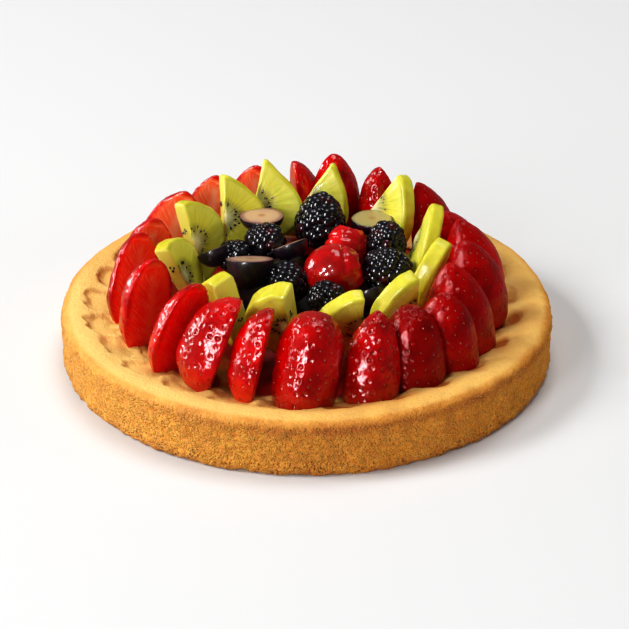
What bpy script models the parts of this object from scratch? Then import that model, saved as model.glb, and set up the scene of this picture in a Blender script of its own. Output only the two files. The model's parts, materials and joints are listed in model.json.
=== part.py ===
"""Fruit tart: a crimped shortcrust case filled with custard, topped with rings of fruit.

Half strawberries stand in a ring inside the rim, half-moon kiwi slices stand inside
them, and whole berries and halved grapes are heaped in the middle. Z is up, the tart's
axis is the Z axis and its flat underside is at z = 0. Sizes below are in millimetres and
angles in degrees, counted counter-clockwise from +X as seen from above.
"""

import math

import bmesh
import bpy
from mathutils import Euler, Vector

MM = 0.001
GAP = 0.3  # clearance that keeps neighbouring solids apart

# Case
CASE_RADIUS = 120.0
CASE_HEIGHT = 28.4
FLOOR_THICKNESS = 7.0
FILLING_RADIUS = 95.0
CRIMPS = 26
CRIMP_DEPTH = 4.6
CRIMP_START = 158.1  # angle of one ridge between two crimps
CRIMP_DRIFT = 2.5  # the crimps are hand-made, so their spacing wanders by this angle
CRIMP_DRIFT_TOWARDS = 352.0
SEGMENTS_PER_CRIMP = 5
LIP = 0.8  # width of the narrow lip just above the custard
SLOPE = 0.67  # rise of the ridges between the crimps, from that lip outwards

# Custard
CUSTARD_LEVEL = 20.0
MOUND_RADIUS = 43.0
MOUND_HEIGHT = 31.0
MOUND_BACK = 4.0  # the mound's middle lies this far behind the tart's
MOUND_RISE = 0.09  # its top climbs towards the back, where the heap of fruit is highest
CUSTARD_SEGMENTS = 48

# Fruit
BERRY_LENGTH = 50.0
BERRY_WIDTH = 33.0
BERRY_DEPTH = 17.0
BERRY_WIDEST = 0.32  # share of the length, from the stem end, where a strawberry is widest
BERRY_STEM = 0.60  # width at the hulled stem end, as a share of the widest
KIWI_RADIUS = 23.0
KIWI_THICKNESS = 9.0
KIWI_EDGE = 1.2  # rounding of a slice's edges
KIWI_ARC = 0.75  # 0.5 makes the arc of a slice a half circle, 1 a parabola with sharper ends
BERRY_LONG = 1.15  # length of a bramble or red berry, as a share of its width
GRAPE_NARROW = 0.9  # width of a grape's cut face across its fall, as a share of the other

# Half strawberries in ring order. Each row: angle and radius of the stem end, turn of the
# cut face from the tangent towards the middle, lean of the tip towards the middle side and
# back onto the rounded side, then length, width and depth as shares of the usual ones and
# how blunt the tip is, from 0 to 1.
STRAWBERRIES = (
    (187, 86, 30, 12, 6, 0.96, 0.92, 0.90, 0.5),
    (202, 84, 34, 5, -7, 0.98, 0.84, 0.85, 0.6),
    (221, 86, 14, 13, -12, 1.00, 0.86, 0.85, 0.4),
    (238, 87, 24, 15, -19, 0.94, 1.06, 1.15, 0.7),
    (253, 87, 10, 15, -12, 0.92, 1.00, 0.85, 0.5),
    (268.6, 87, 88, -6, -13, 0.91, 0.93, 1.15, 0.9),
    (289.5, 87, 64, 1, -13, 0.86, 0.82, 0.94, 0.3),
    (306.5, 87, 42, 8, -8, 0.82, 0.85, 0.88, 0.7),
    (321.2, 86.5, 30, 9, 6, 0.88, 0.93, 0.82, 0.6),
    (334, 85, 24, 13, 4, 1.02, 1.00, 1.00, 0.4),
    (350, 86, 22, 12, 1, 1.04, 1.02, 1.00, 0.6),
    (8, 86, 24, 13, -5, 1.00, 1.00, 1.00, 0.5),
    (26, 86, 24, 16, -5, 0.96, 1.00, 0.95, 0.5),
    (44, 86, 24, 9, -5, 0.95, 0.98, 0.95, 0.6),
    (62, 86, 24, 5, -5, 1.00, 0.90, 0.90, 0.5),
    (80, 87, 26, 6, -4, 1.06, 0.96, 1.00, 0.8),
    (94, 86, 40, 12, -5, 1.00, 0.95, 0.90, 0.6),
    (111, 86, 40, 10, -7, 1.00, 0.95, 0.95, 0.6),
    (128, 86, 34, 10, -8, 1.00, 0.95, 0.95, 0.5),
    (148, 86, 28, 15, 0, 0.96, 1.02, 1.00, 0.6),
    (169, 84, 28, 9, -6, 0.94, 0.90, 0.85, 0.6),
)

# Kiwi slices in ring order. Each row: angle, radius and height of the core, turn of the
# inner flat face towards the counter-clockwise side, outward lean, roll of the cut edge
# from upright towards the rounded side, then radius and thickness as shares of the usual.
KIWIS = (
    (185, 63, 41, 25, 18, -20, 0.95, 0.90),
    (160, 62, 47, 20, 14, -4, 1.00, 0.90),
    (136, 60, 47, 21, 18, 6, 1.00, 0.78),
    (113, 64, 49, 24, 18, 8, 1.10, 0.75),
    (88, 65.5, 50, 9, 18, 18, 1.06, 0.75),
    (55, 65.5, 51, 14, 18, 24, 1.04, 0.95),
    (22, 62, 47, 20, 18, 10, 1.05, 0.85),
    (353, 63, 46, 20, 18, 10, 1.00, 1.00),
    (323, 63, 45, 20, 18, 10, 1.05, 1.00),
    (295, 60, 43, 15, 18, 0, 1.00, 1.00),
    (264, 56, 42, 15, 18, 0, 1.00, 1.30),
    (231, 54, 42, 15, 18, 0, 0.95, 1.30),
)

# Whole brambles. Each row: centre x, y, z, direction and lift of the long axis, width.
BRAMBLES = (
    (7, 43, 50, 80, 70, 25),
    (-20.5, 22.5, 46, 180, 10, 17.5),
    (37.3, 22, 46.5, 60, 80, 18.5),
    (39.5, 0, 43, 350, 10, 22),
    (10, -25, 42, 0, 0, 16),
    (-10, -5, 40.5, 240, 10, 17.5),
    (-36.5, 16.5, 40, 190, 10, 14),
)

# Red berries, heavily glazed, as the brambles above.
RED_BERRIES = (
    (17, 21, 46, 60, 60, 20),
    (12, -3, 45, 0, 10, 23),
)

# Halved grapes. Each row: centre x, y, z of the cut face, direction and slope of its fall,
# width and depth.
GRAPES = (
    (-22.5, 38, 56.5, 270, 8, 22.5, 8),
    (-28, -4, 51, 270, -6, 23, 14),
    (31, 38.5, 55.5, 270, 4, 20, 8),
    (-8, 12, 52, 120, 55, 17, 6),
    (-48, 13, 44.5, 120, 55, 11, 5),
    (32, -17, 40, 120, 40, 14, 6),
)


def clear_scene():
    for obj in list(bpy.data.objects):
        bpy.data.objects.remove(obj, do_unlink=True)


def food_material(name, colour, roughness, coat=0.0):
    material = bpy.data.materials.new(name)
    material.use_nodes = True
    shader = material.node_tree.nodes["Principled BSDF"]
    shader.inputs["Base Color"].default_value = (*colour, 1.0)
    shader.inputs["Roughness"].default_value = roughness
    shader.inputs["Metallic"].default_value = 0.0
    shader.inputs["Coat Weight"].default_value = coat
    return material


def polar(radius, angle, height=0.0):
    turn = math.radians(angle)
    return Vector((radius * math.cos(turn), radius * math.sin(turn), height))


def add_piece(name, mesh_data, material, smooth=True):
    """Makes the object of a bmesh whose lengths are in millimetres."""
    bmesh.ops.scale(mesh_data, vec=(MM, MM, MM), verts=mesh_data.verts)
    bmesh.ops.recalc_face_normals(mesh_data, faces=mesh_data.faces)
    mesh = bpy.data.meshes.new(name)
    mesh_data.to_mesh(mesh)
    mesh_data.free()
    if smooth:
        mesh.shade_smooth()
        mesh.set_sharp_from_angle(angle=math.radians(40))
    mesh.materials.append(material)
    obj = bpy.data.objects.new(name, mesh)
    bpy.context.scene.collection.objects.link(obj)
    return obj


def loft(rings, tip=None):
    """A closed body through rings of equal counts of points, ended by flat faces or a tip."""
    body = bmesh.new()
    loops = [[body.verts.new(point) for point in ring] for ring in rings]
    for lower, upper in zip(loops, loops[1:]):
        for i in range(len(lower)):
            j = (i + 1) % len(lower)
            body.faces.new((lower[i], lower[j], upper[j], upper[i]))
    body.faces.new(reversed(loops[0]))
    if tip is None:
        body.faces.new(loops[-1])
    else:
        end = body.verts.new(tip)
        for i in range(len(loops[-1])):
            j = (i + 1) % len(loops[-1])
            body.faces.new((loops[-1][i], loops[-1][j], end))
    return body


def ridge_share(angle):
    """1 on a ridge between two crimps, 0 in the middle of a crimp."""
    drift = CRIMP_DRIFT * (1 + math.cos(math.radians(angle - CRIMP_DRIFT_TOWARDS)))
    phase = math.radians((angle - drift - CRIMP_START) * CRIMPS)
    return (0.5 + 0.5 * math.cos(phase)) ** 1.4


def case_section(angle):
    """Points of the case's section at an angle, from the middle of the underside to the floor."""
    dip = CRIMP_DEPTH * (1 - ridge_share(angle))
    rim = CASE_RADIUS
    top = CASE_HEIGHT
    section = (
        (rim - 2.2, 0.0),
        (rim - 0.9, 1.4),
        (rim, 20.5),
        (rim - 0.9, top - 3.6),
        (rim - 3.4, top - 0.9),
        (rim - 7.6, top),
        (rim - 10.5, top - 0.9 - 0.75 * dip),
        (rim - 15.0, top - 2.6 - dip),
        (rim - 20.0, top - 5.0 - 0.75 * dip),
        (FILLING_RADIUS + LIP, CUSTARD_LEVEL + 0.6),
        (FILLING_RADIUS, FLOOR_THICKNESS),
    )
    return [polar(radius, angle, height) for radius, height in section]


def make_case(material):
    count = CRIMPS * SEGMENTS_PER_CRIMP
    sections = [case_section(360 * i / count) for i in range(count)]
    rings = list(zip(*sections))
    return add_piece("crust", loft(rings), material)


def make_custard(material):
    radius = FILLING_RADIUS - GAP - 0.1
    section = (
        (radius, FLOOR_THICKNESS + GAP),
        (radius, CUSTARD_LEVEL),
        (MOUND_RADIUS, CUSTARD_LEVEL),
        (0.94 * MOUND_RADIUS, 0.8 * MOUND_HEIGHT + 0.2 * CUSTARD_LEVEL),
        (0.8 * MOUND_RADIUS, MOUND_HEIGHT),
    )
    rings = []
    for r, z in section:
        back = MOUND_BACK if r <= MOUND_RADIUS else 0.0
        rise = MOUND_RISE * max(0.0, (z - CUSTARD_LEVEL) / (MOUND_HEIGHT - CUSTARD_LEVEL))
        ring = []
        for i in range(CUSTARD_SEGMENTS):
            x, y, _ = polar(r, 360 * i / CUSTARD_SEGMENTS)
            ring.append((x, y + back, z + rise * y))
        rings.append(ring)
    return add_piece("custard", loft(rings), material)


def berry_width(share, blunt):
    """Half-width of a strawberry at a share of its length from the stem end, widest = 1."""
    if share < BERRY_WIDEST:
        back = (BERRY_WIDEST - share) / BERRY_WIDEST
        return 1 - (1 - BERRY_STEM) * back**2
    along = (share - BERRY_WIDEST) / (1 - BERRY_WIDEST)
    power = 1.6 + 0.7 * blunt
    return (1 - along**power) ** (0.85 - 0.25 * blunt)


def half_strawberry(length, width, depth, blunt):
    """Axis along Z from the stem end, cut face in the plane y = 0, rounded side towards -Y."""
    sides = 7
    rings = []
    for share in (0, 0.12, BERRY_WIDEST, 0.5, 0.68, 0.83, 0.94):
        size = berry_width(share, blunt)
        ring = []
        for i in range(sides + 1):
            turn = math.pi * i / sides
            x = 0.5 * width * size * math.cos(turn)
            y = -depth * size * math.sin(turn)
            ring.append((x, y, length * share))
        rings.append(ring)
    return loft(rings, tip=(0, -0.02 * depth, length))


def trim(body, matrix, point, normal):
    """Cuts off what lies behind a plane, with a flat face, given the place of the body."""
    inverse = matrix.inverted()
    geometry = body.verts[:] + body.edges[:] + body.faces[:]
    cut = bmesh.ops.bisect_plane(
        body,
        geom=geometry,
        plane_co=inverse @ Vector(point),
        plane_no=inverse.to_3x3() @ Vector(normal),
        clear_inner=True,
        dist=1e-4,
    )
    edges = [item for item in cut["geom_cut"] if isinstance(item, bmesh.types.BMEdge)]
    if edges:
        bmesh.ops.contextual_create(body, geom=edges)


def place(name, body, location, rotation, material):
    """Adds a piece of fruit at a place in millimetres, trimmed flat where it meets the
    custard and the slope of the case."""
    matrix = rotation.to_matrix().to_4x4()
    matrix.translation = location
    trim(body, matrix, (0, 0, CUSTARD_LEVEL + GAP), (0, 0, 1))
    outward = Vector((location[0], location[1], 0)).normalized()
    lip = outward * (FILLING_RADIUS + LIP - 1.5 * GAP) + Vector((0, 0, CUSTARD_LEVEL + 0.6 + GAP))
    trim(body, matrix, lip, Vector((0, 0, 1)) - SLOPE * outward)
    obj = add_piece(name, body, material)
    obj.rotation_mode = rotation.order
    obj.rotation_euler = rotation
    obj.location = Vector(location) * MM
    return obj


def make_strawberries(material):
    for number, row in enumerate(STRAWBERRIES, 1):
        angle, radius, turn, lean_in, lean_back, length, width, depth, blunt = row
        body = half_strawberry(
            BERRY_LENGTH * length, BERRY_WIDTH * width, BERRY_DEPTH * depth, blunt
        )
        rotation = Euler(
            (math.radians(lean_back), -math.radians(lean_in), math.radians(angle + turn)), "YXZ"
        )
        foot = polar(radius, angle, CUSTARD_LEVEL - 2)
        place(f"strawberry_{number:02d}", body, foot, rotation, material)


def half_moon(radius, thickness):
    """Core at the origin, cut edge along Z, round side towards +X, flat faces across Y."""
    steps = 12
    rings = []
    for y, inset in (
        (-thickness / 2, KIWI_EDGE),
        (-thickness / 2 + KIWI_EDGE, 0),
        (thickness / 2 - KIWI_EDGE, 0),
        (thickness / 2, KIWI_EDGE),
    ):
        ring = []
        for i in range(steps + 1):
            turn = -math.pi / 2 + math.pi * i / steps
            size = radius - inset
            across = size * math.cos(turn) ** (2 * KIWI_ARC)
            ring.append((inset * 0.4 + across, y, size * math.sin(turn)))
        rings.append(ring)
    return loft(rings)


def make_kiwis(material):
    for number, row in enumerate(KIWIS, 1):
        angle, radius, height, turn, lean, roll, size, thickness = row
        body = half_moon(KIWI_RADIUS * size, KIWI_THICKNESS * thickness)
        rotation = Euler(
            (-math.radians(lean), math.radians(roll), math.radians(angle - 90 - turn)), "YXZ"
        )
        place(f"kiwi_{number:02d}", body, polar(radius, angle, height), rotation, material)


def drupelet_berry(width, length, bump):
    """A berry of small round drupelets in staggered rows, with its axis along Z."""
    rows = 7
    columns = 12
    rings = []
    for row in range(rows):
        polar_angle = math.pi * (row + 0.6) / (rows + 0.2)
        ring = []
        for column in range(columns):
            turn = 2 * math.pi * column / columns
            swell = 1 + (bump if (row + column) % 2 else -bump)
            across = 0.5 * width * math.sin(polar_angle) ** 0.8 * swell
            z = -0.5 * length * math.cos(polar_angle)
            ring.append((across * math.cos(turn), across * math.sin(turn), z))
        rings.append(ring)
    return loft(rings)


def make_berries(prefix, rows, bump, material):
    for number, row in enumerate(rows, 1):
        x, y, z, direction, lift, width = row
        body = drupelet_berry(width, BERRY_LONG * width, bump)
        rotation = Euler((0, math.radians(90 - lift), math.radians(direction)), "XYZ")
        place(f"{prefix}_{number:02d}", body, (x, y, z), rotation, material)


def half_grape(width, depth):
    """Cut face in the plane z = 0, rounded side down."""
    sides = 10
    rings = []
    for level in (0, 0.3, 0.62, 0.88):
        size = math.sqrt(1 - level**2)
        rings.append(
            [
                (
                    0.5 * width * size * math.cos(2 * math.pi * i / sides),
                    0.5 * GRAPE_NARROW * width * size * math.sin(2 * math.pi * i / sides),
                    -depth * level,
                )
                for i in range(sides)
            ]
        )
    return loft(rings, tip=(0, 0, -depth))


def make_grapes(material):
    for number, row in enumerate(GRAPES, 1):
        x, y, z, direction, slope, width, depth = row
        body = half_grape(width, depth)
        rotation = Euler((0, math.radians(slope), math.radians(direction)), "XYZ")
        place(f"grape_{number:02d}", body, (x, y, z), rotation, material)


def main():
    clear_scene()
    make_case(food_material("shortcrust", (0.72, 0.40, 0.13), 0.75))
    make_custard(food_material("custard", (0.93, 0.76, 0.36), 0.45))
    make_strawberries(food_material("strawberry_flesh", (0.60, 0.02, 0.015), 0.25, 0.6))
    make_kiwis(food_material("kiwi_flesh", (0.62, 0.66, 0.10), 0.30, 0.4))
    dark = food_material("bramble_skin", (0.012, 0.010, 0.016), 0.20, 0.6)
    make_berries("bramble", BRAMBLES, 0.07, dark)
    red = food_material("red_berry_skin", (0.50, 0.01, 0.012), 0.15, 0.8)
    make_berries("red_berry", RED_BERRIES, 0.04, red)
    make_grapes(food_material("grape_skin", (0.05, 0.025, 0.05), 0.25, 0.5))


main()
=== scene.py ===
"""Fruit tart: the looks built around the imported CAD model.

Every CAD node is replaced by a finer piece of the same place, size and name. Inside this
script lengths are in millimetres and angles in degrees, counted counter-clockwise from +X as
seen from above; add_piece turns them into metres.
"""

import json
import math

import bpy
import numpy as np
from mathutils import Euler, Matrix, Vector

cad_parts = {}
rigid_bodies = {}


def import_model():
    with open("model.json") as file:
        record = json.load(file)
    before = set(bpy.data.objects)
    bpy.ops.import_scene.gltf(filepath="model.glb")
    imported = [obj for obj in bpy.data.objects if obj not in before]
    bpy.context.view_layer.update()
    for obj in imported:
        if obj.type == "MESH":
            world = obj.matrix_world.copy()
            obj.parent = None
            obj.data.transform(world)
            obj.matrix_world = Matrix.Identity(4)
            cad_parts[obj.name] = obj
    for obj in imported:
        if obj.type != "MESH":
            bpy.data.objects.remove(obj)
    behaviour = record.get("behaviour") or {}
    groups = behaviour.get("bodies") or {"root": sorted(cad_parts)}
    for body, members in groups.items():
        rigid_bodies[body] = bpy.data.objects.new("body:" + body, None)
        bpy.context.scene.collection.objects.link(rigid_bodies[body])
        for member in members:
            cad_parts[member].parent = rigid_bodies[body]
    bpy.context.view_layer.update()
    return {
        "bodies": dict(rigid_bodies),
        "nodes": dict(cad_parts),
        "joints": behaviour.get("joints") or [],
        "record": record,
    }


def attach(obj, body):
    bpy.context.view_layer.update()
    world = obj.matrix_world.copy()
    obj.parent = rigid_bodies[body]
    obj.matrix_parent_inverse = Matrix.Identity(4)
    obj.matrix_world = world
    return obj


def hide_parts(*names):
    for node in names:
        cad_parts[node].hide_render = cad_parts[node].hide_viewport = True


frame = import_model()

MM = 0.001

# The tart, as in the CAD model.
CASE_RADIUS = 120.0
CASE_HEIGHT = 28.4
FLOOR_THICKNESS = 7.0
FILLING_RADIUS = 95.0
CUSTARD_LEVEL = 20.0
CRIMPS = 26
CRIMP_START = 158.1
CRIMP_DRIFT = 2.5
CRIMP_DRIFT_TOWARDS = 352.0
BERRY_LENGTH = 50.0
BERRY_WIDTH = 33.0
BERRY_DEPTH = 17.0
BERRY_WIDEST = 0.32
BERRY_STEM = 0.60
KIWI_RADIUS = 23.0
KIWI_THICKNESS = 9.0
KIWI_ARC = 0.75
GRAPE_NARROW = 0.9
BERRY_LONG = 1.15

# Half strawberries: angle, radius, turn, lean in, lean back, length, width and depth shares,
# bluntness, how far the tip leans to the outer side, how orange the flesh is, dimple depth,
# how dark the skin is painted, which is partly darker skin and partly painted shade on the berries that stand in shade.
STRAWBERRIES = (
    (187, 85.5, 26, 11, 6, 0.95, 0.85, 0.72, 1.0, 0.0, 0.14, 0.45, 0.1),
    (202, 84, 22, 6, -6, 0.95, 0.91, 0.70, 1.2, 0.1, 0.10, 0.45, 0.1),
    (221, 86, 2, 13, -12, 0.98, 0.92, 0.68, 1.2, 0.0, 0.0, 0.42, 0.1),
    (238, 87, 24, 15, -19, 0.94, 1.06, 1.15, 1.4, 0.1, 0.0, 0.50, 0.3),
    (253, 87, 10, 15, -12, 0.92, 1.00, 0.85, 1.2, 0.2, 0.0, 0.45, 0.1),
    (268.6, 87, 88, -6, -13, 0.91, 0.93, 1.15, 1.8, 0.10, 0.0, 0.45, 0.6),
    (289.8, 87, 64, 1, -13, 0.86, 0.84, 0.95, 0.5, 0.20, 0.0, 0.45, 0.5),
    (306.5, 87, 42, 8, -8, 0.82, 0.87, 0.92, 1.3, 0.0, 0.0, 0.32, 1.15),
    (321, 86.5, 30, 9, 6, 0.88, 0.94, 0.82, 0.8, 0.2, 0.0, 0.25, 0.85),
    (334, 85, 24, 13, 4, 1.02, 0.98, 0.95, 0.5, 0.1, 0.0, 0.28, 0.75),
    (350, 86, 22, 12, 1, 1.03, 1.00, 0.90, 0.7, 0.0, 0.0, 0.28, 0.75),
    (8, 86, 24, 13, -5, 0.99, 0.98, 0.95, 0.5, 0.0, 0.0, 0.28, 0.45),
    (26, 86, 24, 16, -5, 0.87, 1.00, 0.95, 0.6, 0.0, 0.1, 0.28, 0.6),
    (44, 86, 24, 9, -5, 0.95, 0.98, 0.95, 0.6, 0.0, 0.2, 0.28, 0.6),
    (61.3, 84, 263, 0, 6, 0.98, 0.76, 0.90, 0.7, 0.0, 0.3, 0.40, 0.5),
    (80.6, 86, 312, 4, 4, 1.03, 0.86, 0.95, 1.0, 0.0, 0.6, 0.45, 0.1),
    (93, 86, 8, 12, -5, 1.00, 0.95, 0.90, 0.7, 0.0, 0.8, 0.30, 0.1),
    (110, 86, 40, 10, -7, 0.98, 0.95, 0.95, 0.6, 0.0, 0.7, 0.50, 0),
    (126.5, 86, 34, 10, -8, 0.98, 0.95, 0.95, 0.5, 0.0, 1.0, 0.50, 0),
    (148, 86, 28, 15, 0, 0.96, 1.02, 1.00, 0.6, 0.0, 0.85, 0.50, 0),
    (169, 84, 28, 9, -6, 0.94, 0.90, 0.85, 0.8, 0.0, 0.5, 0.50, 0),
)

# Half-moon kiwi slices: angle, radius and height of the core, turn, lean, roll, radius and
# thickness shares, straightness of the peeled side.
KIWIS = (
    (185, 63, 41, 25, 18, -20, 0.95, 0.90, 0.75),
    (160, 62, 47, 20, 14, -4, 1.00, 0.90, 0.80),
    (135, 60, 51, 21, 18, 6, 1.00, 0.78, 1.10),
    (114.5, 64.5, 50.5, 24, 18, 12, 1.12, 0.75, 1.25),
    (90, 65.5, 51, 9, 18, 33, 1.06, 0.75, 1.20),
    (56.5, 66, 51.5, 16, 18, 28, 1.10, 0.95, 0.85),
    (22, 62, 48.8, 20, 18, 10, 1.05, 0.85, 0.75),
    (353, 63, 47, 20, 18, 10, 1.00, 1.00, 0.75),
    (323, 63, 45, 20, 18, 10, 0.98, 1.00, 0.75),
    (295, 60, 43, 15, 18, 0, 0.93, 1.00, 0.75),
    (264, 56, 44.5, 15, 18, 0, 1.00, 1.30, 0.75),
    (231, 54, 42, 15, 18, 0, 0.95, 1.30, 0.75),
)

# Brambles and red berries: centre, direction and lift of the long axis, width.
BRAMBLES = (
    (7, 43, 49, 80, 70, 26),
    (-20.5, 22.5, 47.5, 180, 10, 19),
    (39.5, 22, 46.5, 60, 80, 21.5),
    (39.5, 0, 43, 350, 10, 23),
    (10, -25, 41, 0, 0, 17.5),
    (-10, -8, 40, 240, 10, 22),
    (-35.5, 17.5, 41.5, 190, 10, 18),
)
RED_BERRIES = (
    (19.5, 21, 43.8, 60, 60, 23),
    (13.5, -3, 44, 0, 10, 27),
)

# Halved grapes: centre of the cut face, direction and slope of its fall, width and depth.
GRAPES = (
    (-22.5, 38, 54.0, 270, -6, 24.5, 8),
    (-27.5, -3, 50.5, 270, -20, 26, 15),
    (32.8, 38.5, 52.2, 270, -4, 23, 8),
    (-8.5, 12, 51, 130, 32, 19.5, 8),
    (-46.5, 13, 47, 130, 34, 17, 8),
    (30, -17, 40, 120, 40, 16, 7),
)


# ---------------------------------------------------------------- numbers and meshes


def smoothstep(low, high, value):
    share = np.clip((value - low) / (high - low), 0, 1)
    return share * share * (3 - 2 * share)


def lattice(cell, seed):
    """A repeatable random number from 0 to 1 for each whole-numbered cell."""
    mixed = cell[..., 0] * 374761393 + cell[..., 1] * 668265263 + cell[..., 2] * 1440662683
    mixed = (mixed + seed * 974711) & 0xFFFFFFFF
    mixed = ((mixed ^ (mixed >> 13)) * 1274126177) & 0xFFFFFFFF
    return ((mixed ^ (mixed >> 16)) & 0xFFFF) / 65535.0


def lumps(points, scale, seed=0):
    """Smooth noise from -1 to 1 at each point, with lumps of about the given size."""
    place = np.asarray(points, float) / scale + 1000.0
    cell = np.floor(place).astype(np.int64)
    part = place - cell
    part = part * part * (3 - 2 * part)
    total = np.zeros(place.shape[:-1])
    for corner in range(8):
        step = np.array([corner & 1, corner >> 1 & 1, corner >> 2 & 1])
        weight = np.prod(np.where(step == 1, part, 1 - part), axis=-1)
        total += weight * lattice(cell + step, seed)
    return 2 * total - 1


def through(points, steps):
    """A smooth curve through points, as an array of so many places evenly along it."""
    points = np.asarray(points, float)
    ends = np.vstack([2 * points[0] - points[1], points, 2 * points[-1] - points[-2]])
    fine = []
    for i in range(len(points) - 1):
        a, b, c, d = ends[i : i + 4]
        for t in np.linspace(0, 1, 16, endpoint=False):
            fine.append(
                0.5 * (2 * b + (c - a) * t + (2 * a - 5 * b + 4 * c - d) * t**2)
                + 0.5 * (3 * b - a - 3 * c + d) * t**3
            )
    fine.append(points[-1])
    fine = np.array(fine)
    run = np.concatenate([[0], np.cumsum(np.linalg.norm(np.diff(fine, axis=0), axis=1))])
    places = np.linspace(0, run[-1], steps)
    return np.stack([np.interp(places, run, fine[:, k]) for k in range(fine.shape[1])], axis=1)


def polar(radius, angle, height=0.0):
    turn = math.radians(angle)
    return Vector((radius * math.cos(turn), radius * math.sin(turn), height))


def grid_faces(rows, columns, closed=True):
    """Quads of a grid of points stored row by row; closed joins the last column to the first."""
    row, column = np.meshgrid(
        np.arange(rows - 1), np.arange(columns if closed else columns - 1), indexing="ij"
    )
    after = (column + 1) % columns
    return np.stack(
        [
            row * columns + column,
            row * columns + after,
            (row + 1) * columns + after,
            (row + 1) * columns + column,
        ],
        axis=-1,
    ).reshape(-1, 4)


class Body:
    """Points, faces and values at points, to which more of the same can be joined."""

    def __init__(self):
        self.points = []
        self.faces = []
        self.values = {}
        self.count = 0

    def join(self, points, faces, **values):
        points = np.asarray(points, float).reshape(-1, 3)
        self.points.append(points)
        self.faces.extend(tuple(int(i) + self.count for i in face) for face in faces)
        for name, value in values.items():
            value = np.broadcast_to(np.asarray(value, float), (len(points),))
            self.values.setdefault(name, []).append(value)
        self.count += len(points)
        return self


def add_piece(name, body, material, nodes=(), place=None):
    """Makes the object of a body in millimetres, moved to its place, and ties it to the frame."""
    points = np.vstack(body.points)
    if place is not None:
        matrix = np.array(place)
        points = points @ matrix[:3, :3].T + matrix[:3, 3]
    mesh = bpy.data.meshes.new(name)
    mesh.from_pydata((points * MM).tolist(), [], body.faces)
    for label, parts in body.values.items():
        layer = mesh.attributes.new(label, "FLOAT", "POINT")
        layer.data.foreach_set("value", np.concatenate(parts).astype(np.float32))
    mesh.update()
    mesh.shade_smooth()
    mesh.materials.append(material)
    piece = bpy.data.objects.new(name, mesh)
    bpy.context.scene.collection.objects.link(piece)
    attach(piece, "root")
    if nodes:
        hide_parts(*nodes)
    return piece


def turned(location, degrees, order):
    """The matrix of a place in millimetres and a rotation."""
    matrix = Euler([math.radians(d) for d in degrees], order).to_matrix().to_4x4()
    matrix.translation = location
    return matrix


def seed_shape():
    """A small pointed seed, 1 long along X, 0.6 wide and 0.4 thick."""
    sides = 6
    rings = []
    for along, size in ((-0.38, 0.55), (0.0, 1.0), (0.36, 0.45)):
        for i in range(sides):
            turn = 2 * math.pi * i / sides
            rings.append((along, 0.3 * size * math.cos(turn), 0.2 * size * math.sin(turn)))
    points = np.array([(-0.5, 0, 0)] + rings + [(0.5, 0, 0)])
    faces = [tuple(face + 1) for face in grid_faces(3, sides)]
    last = len(points) - 1
    for i in range(sides):
        j = (i + 1) % sides
        faces.append((0, 1 + j, 1 + i))
        faces.append((last, last - sides + i, last - sides + j))
    return points, faces


# ---------------------------------------------------------------- materials


class Paint:
    """Builds one material's nodes. Numbers are set on sockets and sockets are linked."""

    def __init__(self, name):
        self.material = bpy.data.materials.new(name)
        self.material.use_nodes = True
        self.tree = self.material.node_tree
        self.shader = self.tree.nodes["Principled BSDF"]

    def fill(self, socket, value):
        if isinstance(value, bpy.types.NodeSocket):
            self.tree.links.new(value, socket)
        elif isinstance(value, (tuple, list)) and len(value) == 3 and socket.type == "RGBA":
            socket.default_value = (*value, 1.0)
        else:
            socket.default_value = value

    def node(self, kind, inputs=None, output=0, **settings):
        made = self.tree.nodes.new(kind)
        for key, value in settings.items():
            setattr(made, key, value)
        for key, value in (inputs or {}).items():
            self.fill(made.inputs[key], value)
        return made.outputs[output]

    def set(self, **inputs):
        for key, value in inputs.items():
            self.fill(self.shader.inputs[key.replace("_", " ")], value)
        return self

    def at(self):
        return self.node("ShaderNodeTexCoord", output="Object")

    def value(self, name):
        return self.node("ShaderNodeAttribute", attribute_name=name, output="Fac")

    def math(self, operation, a, b=0.0, clamp=False):
        return self.node(
            "ShaderNodeMath", {0: a, 1: b}, operation=operation, use_clamp=clamp
        )

    def ramp(self, factor, *stops):
        """A colour ramp; each stop is a position and a colour or a grey."""
        made = self.tree.nodes.new("ShaderNodeValToRGB")
        elements = made.color_ramp.elements
        while len(elements) < len(stops):
            elements.new(0.5)
        for element, (position, colour) in zip(elements, stops):
            element.position = position
            if not isinstance(colour, tuple):
                colour = (colour, colour, colour)
            element.color = (*colour, 1.0)
        self.fill(made.inputs["Fac"], factor)
        return made.outputs["Color"]

    def noise(self, scale, detail=3.0, rough=0.55, vector=None, distortion=0.0):
        return self.node(
            "ShaderNodeTexNoise",
            {
                "Vector": vector or self.at(),
                "Scale": scale,
                "Detail": detail,
                "Roughness": rough,
                "Distortion": distortion,
            },
            output="Fac",
        )

    def cells(self, scale, feature="F1", vector=None, output="Distance"):
        return self.node(
            "ShaderNodeTexVoronoi",
            {"Vector": vector or self.at(), "Scale": scale},
            feature=feature,
            output=output,
        )

    def mix(self, factor, a, b, kind="MIX"):
        made = self.tree.nodes.new("ShaderNodeMix")
        made.data_type = "RGBA"
        made.blend_type = kind
        self.fill(made.inputs[0], factor)
        self.fill(made.inputs[6], a)
        self.fill(made.inputs[7], b)
        return made.outputs[2]

    def bump(self, height, strength, distance, normal=None):
        inputs = {"Height": height, "Strength": strength, "Distance": distance}
        if normal is not None:
            inputs["Normal"] = normal
        return self.node("ShaderNodeBump", inputs)

    def soft(self, weight, radius, scale):
        """Light scattered below the surface; radius is per colour, scale in metres."""
        self.shader.subsurface_method = "RANDOM_WALK"
        return self.set(
            Subsurface_Weight=weight, Subsurface_Radius=radius, Subsurface_Scale=scale
        )


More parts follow.
